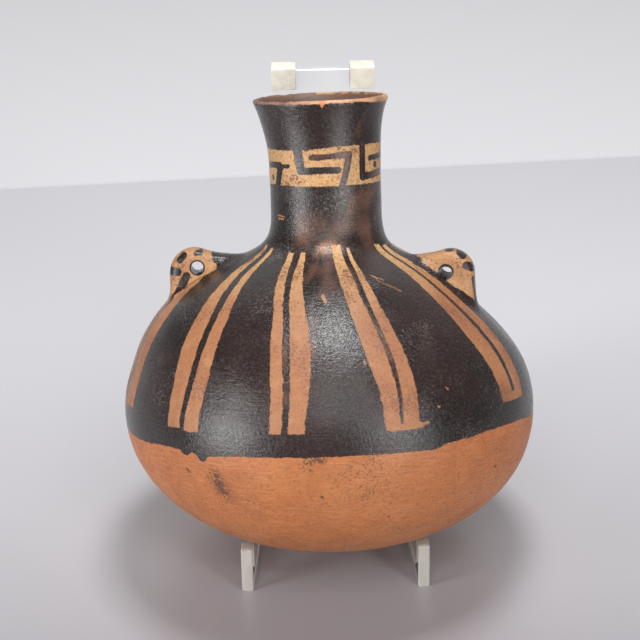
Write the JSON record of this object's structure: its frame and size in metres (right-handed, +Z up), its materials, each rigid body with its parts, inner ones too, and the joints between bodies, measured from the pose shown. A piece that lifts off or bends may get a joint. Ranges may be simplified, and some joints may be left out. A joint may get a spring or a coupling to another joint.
{
  "type": "painted pottery vessel",
  "caption": "Squat round pottery jar with a flared neck, pierced lug handles, painted stripes and a key band, leaning back in a clear sheet stand with runners.",
  "frame": {"origin": "on the floor, under the middle of the bounding box of the jar and its stand", "axes": "+Z up, +Y from the front of the jar to the stand's back panel, +X to the right as seen from the front"},
  "size_m": [0.2064, 0.2098, 0.2379],
  "materials": {
    "painted_clay": "burnished slip over fired clay",
    "clear_sheet": "clear, polished edges",
    "soft_pad": "translucent, slightly yellowed"
  },
  "bodies": {
    "root": {"vessel": "painted_clay", "stand_back_panel": "clear_sheet", "stand_runner_left": "clear_sheet", "stand_runner_right": "clear_sheet", "corner_pad_left": "soft_pad", "corner_pad_right": "soft_pad"}
  },
  "joints": []
}
